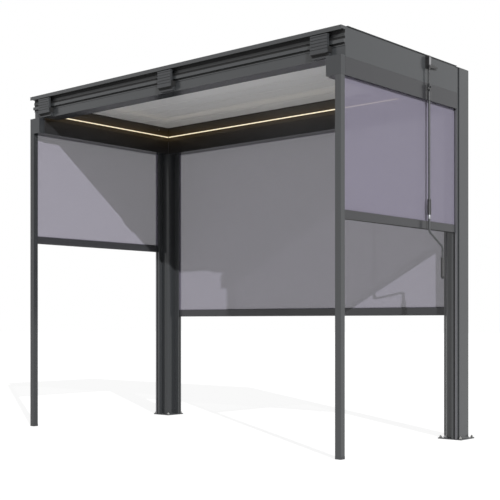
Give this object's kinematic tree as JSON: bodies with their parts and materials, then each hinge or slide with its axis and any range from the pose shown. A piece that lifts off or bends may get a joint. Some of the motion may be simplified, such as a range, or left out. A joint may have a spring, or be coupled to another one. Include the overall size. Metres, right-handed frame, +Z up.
{
  "type": "wall-mounted louvered pergola with roller screens",
  "caption": "Lean-to aluminium pergola with tilting roof louvers, partly lowered roller screens on three sides, light strips and a hanging crank.",
  "frame": {"origin": "centre of the footprint on the floor", "axes": "+X along the wall, to the right as seen from the wall; +Y away from the wall; +Z up"},
  "size_m": [3.0625, 1.5346, 2.578],
  "materials": {
    "frame_paint": "satin anthracite powder coat",
    "bracket_paint": "satin dark grey powder coat",
    "louver_paint": "smooth light grey paint",
    "screen_fabric": "open glass-fibre mesh, grey",
    "light": "warm glowing diffuser",
    "black_plastic": "black moulded plastic",
    "black_steel": "black coated steel",
    "crank_paint": "satin grey powder coat"
  },
  "bodies": {
    "frame": {"wall_rail": "frame_paint", "wall_beam": "frame_paint", "back_beam": "frame_paint", "left_beam": "frame_paint", "right_beam": "frame_paint", "wall_bracket_left": "bracket_paint", "wall_bracket_middle": "bracket_paint", "wall_bracket_right": "bracket_paint", "rear_left_post": "frame_paint", "rear_right_post": "frame_paint", "rear_left_base_plate": "frame_paint", "rear_right_base_plate": "frame_paint", "left_cassette": "frame_paint", "right_cassette": "frame_paint", "back_cassette": "frame_paint", "left_end_block": "frame_paint", "right_end_block": "frame_paint", "wall_left_guide": "frame_paint", "wall_right_guide": "frame_paint", "rear_left_guide": "frame_paint", "rear_right_guide": "frame_paint", "back_left_guide": "frame_paint", "back_right_guide": "frame_paint", "left_screen": "screen_fabric", "right_screen": "screen_fabric", "back_screen": "screen_fabric", "left_bottom_bar": "frame_paint", "right_bottom_bar": "frame_paint", "back_bottom_bar": "frame_paint", "left_light_strip": "light", "right_light_strip": "light", "back_light_strip": "light", "crank_gearbox": "black_plastic", "crank_link": "black_steel"},
    "louver_1": {"louver_1": "louver_paint"},
    "louver_2": {"louver_2": "louver_paint"},
    "louver_3": {"louver_3": "louver_paint"},
    "louver_4": {"louver_4": "louver_paint"},
    "louver_5": {"louver_5": "louver_paint"},
    "louver_6": {"louver_6": "louver_paint"},
    "louver_7": {"louver_7": "louver_paint"},
    "crank_swivel": {"crank_joint": "black_steel"},
    "crank": {"crank_tube": "crank_paint", "crank_upper_grip": "black_plastic", "crank_lower_grip": "black_plastic"}
  },
  "joints": [
    {"name": "louver_1_tilt", "type": "hinge", "parent": "frame", "child": "louver_1", "pos_m": [0, -0.50811, 2.527], "axis": [1, 0, 0], "range_deg": [0, 135]},
    {"name": "louver_2_tilt", "type": "hinge", "parent": "frame", "child": "louver_2", "pos_m": [0, -0.33632, 2.527], "axis": [1, 0, 0], "range_deg": [0, 135]},
    {"name": "louver_3_tilt", "type": "hinge", "parent": "frame", "child": "louver_3", "pos_m": [0, -0.16454, 2.527], "axis": [1, 0, 0], "range_deg": [0, 135]},
    {"name": "louver_4_tilt", "type": "hinge", "parent": "frame", "child": "louver_4", "pos_m": [0, 0.00725, 2.527], "axis": [1, 0, 0], "range_deg": [0, 135]},
    {"name": "louver_5_tilt", "type": "hinge", "parent": "frame", "child": "louver_5", "pos_m": [0, 0.17904, 2.527], "axis": [1, 0, 0], "range_deg": [0, 135]},
    {"name": "louver_6_tilt", "type": "hinge", "parent": "frame", "child": "louver_6", "pos_m": [0, 0.35082, 2.527], "axis": [1, 0, 0], "range_deg": [0, 135]},
    {"name": "louver_7_tilt", "type": "hinge", "parent": "frame", "child": "louver_7", "pos_m": [0, 0.52261, 2.527], "axis": [1, 0, 0], "range_deg": [0, 135]},
    {"name": "crank_swing", "type": "hinge", "parent": "frame", "child": "crank_swivel", "pos_m": [1.52, 0.18575, 2.35], "axis": [0, -1, 0], "range_deg": [0, 60]},
    {"name": "crank_turn", "type": "hinge", "parent": "crank_swivel", "child": "crank", "pos_m": [1.52, 0.18575, 2.27], "axis": [0, 0, 1], "range_deg": [-180, 0]}
  ],
  "couplings": [
    {"joint": "louver_2_tilt", "follows": "louver_1_tilt", "ratio": 1},
    {"joint": "louver_3_tilt", "follows": "louver_1_tilt", "ratio": 1},
    {"joint": "louver_4_tilt", "follows": "louver_1_tilt", "ratio": 1},
    {"joint": "louver_5_tilt", "follows": "louver_1_tilt", "ratio": 1},
    {"joint": "louver_6_tilt", "follows": "louver_1_tilt", "ratio": 1},
    {"joint": "louver_7_tilt", "follows": "louver_1_tilt", "ratio": 1}
  ]
}
